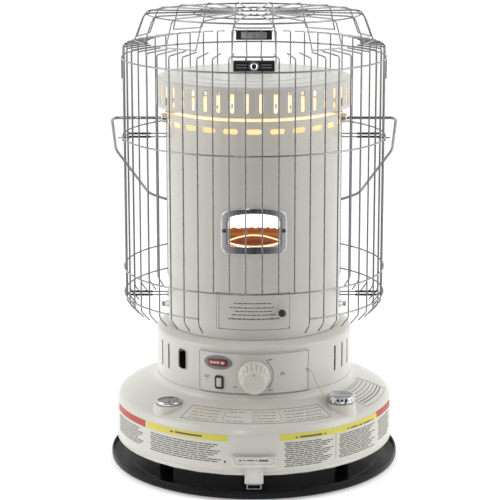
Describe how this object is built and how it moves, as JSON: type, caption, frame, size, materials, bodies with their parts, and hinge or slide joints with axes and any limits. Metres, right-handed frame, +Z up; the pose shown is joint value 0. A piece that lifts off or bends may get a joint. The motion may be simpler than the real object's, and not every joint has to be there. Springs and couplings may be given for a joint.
{
  "type": "kerosene heater",
  "caption": "Round wick-burning convection heater on a drip tray, with a fuel tank, a slotted heat drum with a viewing window, a wire guard and a swinging bail handle.",
  "frame": {"origin": "centre of the drip tray's underside, on the floor", "axes": "+Z up, front of the heater (knob and window) faces -Y, +X to the right seen from the front"},
  "size_m": [0.475, 0.475, 0.7406],
  "materials": {
    "enamel": "glossy ivory enamel",
    "tray_enamel": "satin black",
    "chrome": "polished",
    "guard_wire": "dull plated wire",
    "steel": "brushed",
    "hot_steel": "heat stained",
    "brass": "satin",
    "black_plastic": "matte",
    "white_plastic": "satin",
    "pane": "clear",
    "fibre": "woven glass fibre",
    "badge": "satin",
    "cell_jacket": "gloss",
    "needle": "matte"
  },
  "bodies": {
    "heater": {"fuel_tank": "enamel", "burner_housing": "enamel", "control_panel": "enamel", "heat_drum": "enamel", "hood": "enamel", "drip_tray": "tray_enamel", "tank_stand": "tray_enamel", "window_frame": "chrome", "gauge_body": "chrome", "window_screw_left": "chrome", "window_screw_right": "chrome", "clip_screw_front": "chrome", "clip_screw_rear": "chrome", "front_guard": "guard_wire", "rear_guard": "guard_wire", "top_guard": "guard_wire", "guard_support_upper_left": "guard_wire", "guard_support_upper_right": "guard_wire", "guard_support_lower_left": "guard_wire", "guard_support_lower_right": "guard_wire", "tank_floor": "steel", "air_tube": "steel", "burner_seat": "steel", "hood_bracket": "steel", "door_hinge_pin": "steel", "bail_bushing_left": "steel", "bail_bushing_right": "steel", "filler_neck": "steel", "cap_tether": "steel", "lever_bracket": "steel", "pendulum_post": "steel", "outer_flame_cylinder": "hot_steel", "inner_flame_cylinder": "hot_steel", "wick_guide": "brass", "button_surround": "black_plastic", "guard_clip_front": "black_plastic", "guard_clip_rear": "black_plastic", "battery_case": "black_plastic", "gauge_dial": "white_plastic", "window_pane": "pane", "gauge_lens": "pane", "badge_plate": "badge", "battery_cell_1": "cell_jacket", "battery_cell_2": "cell_jacket"},
    "wick_knob": {"wick_knob": "white_plastic", "knob_shaft": "steel"},
    "wick": {"wick": "fibre", "wick_carrier": "brass", "wick_rack": "brass"},
    "shutoff_button": {"shutoff_button": "white_plastic"},
    "pendulum": {"pendulum": "brass"},
    "lighter_door": {"lighter_door": "enamel", "door_knob": "black_plastic"},
    "bail_handle": {"bail_handle": "guard_wire"},
    "fuel_cap": {"fuel_cap": "chrome"},
    "gauge_needle": {"gauge_needle": "needle"},
    "gauge_float": {"gauge_float": "fibre"},
    "igniter_lever": {"igniter_lever": "enamel"},
    "ignition_rod": {"ignition_rod": "steel"},
    "battery_lid": {"battery_lid": "black_plastic"}
  },
  "joints": [
    {"name": "wick_lift", "type": "slide", "parent": "heater", "child": "wick", "axis": [0, 0, 1], "range_m": [-0.02, 0]},
    {"name": "knob_turn", "type": "hinge", "parent": "heater", "child": "wick_knob", "pos_m": [0, -0.164, 0.183], "axis": [0, 1, 0], "range_deg": [-128, 0.5]},
    {"name": "shutoff_push", "type": "slide", "parent": "heater", "child": "shutoff_button", "axis": [0.3371, 0.9415, 0], "range_m": [0, 0.004], "stiffness_N_per_m": 300, "springref_m": -0.002},
    {"name": "pendulum_swing", "type": "hinge", "parent": "heater", "child": "pendulum", "pos_m": [0.059, 0.12019, 0.2044], "axis": [0, 1, 0], "range_deg": [-25, 25]},
    {"name": "door_swing", "type": "hinge", "parent": "heater", "child": "lighter_door", "pos_m": [-0.05688, -0.12836, 0.281], "axis": [0, 0, -1], "range_deg": [0, 95]},
    {"name": "bail_swing", "type": "hinge", "parent": "heater", "child": "bail_handle", "pos_m": [0, 0, 0.5684], "axis": [1, 0, 0], "range_deg": [0, 260]},
    {"name": "cap_turn", "type": "hinge", "parent": "heater", "child": "fuel_cap", "pos_m": [0.139, -0.141, 0.14], "axis": [0, 0, 1], "range_deg": [0, 360]},
    {"name": "float_slide", "type": "slide", "parent": "heater", "child": "gauge_float", "axis": [0, 0, 1], "range_m": [-0.028, 0.009]},
    {"name": "needle_turn", "type": "hinge", "parent": "heater", "child": "gauge_needle", "pos_m": [-0.135, -0.141, 0.134], "axis": [0, 0, 1], "range_deg": [-76, 26]},
    {"name": "lever_push", "type": "hinge", "parent": "heater", "child": "igniter_lever", "pos_m": [0, -0.12, 0.029], "axis": [1, 0, 0], "range_deg": [0, 4], "stiffness_Nm_per_rad": 3, "springref_deg": -3.44},
    {"name": "ignition_rod_lift", "type": "slide", "parent": "heater", "child": "ignition_rod", "axis": [0, 0, 1], "range_m": [0, 0.0085]},
    {"name": "battery_lid_slide", "type": "slide", "parent": "heater", "child": "battery_lid", "axis": [1, 0, 0], "range_m": [0, 0.14]}
  ],
  "couplings": [
    {"joint": "knob_turn", "follows": "wick_lift", "rad_per_m": 111.11},
    {"joint": "needle_turn", "follows": "float_slide", "rad_per_m": 46.5},
    {"joint": "ignition_rod_lift", "follows": "lever_push", "m_per_rad": 0.12}
  ]
}
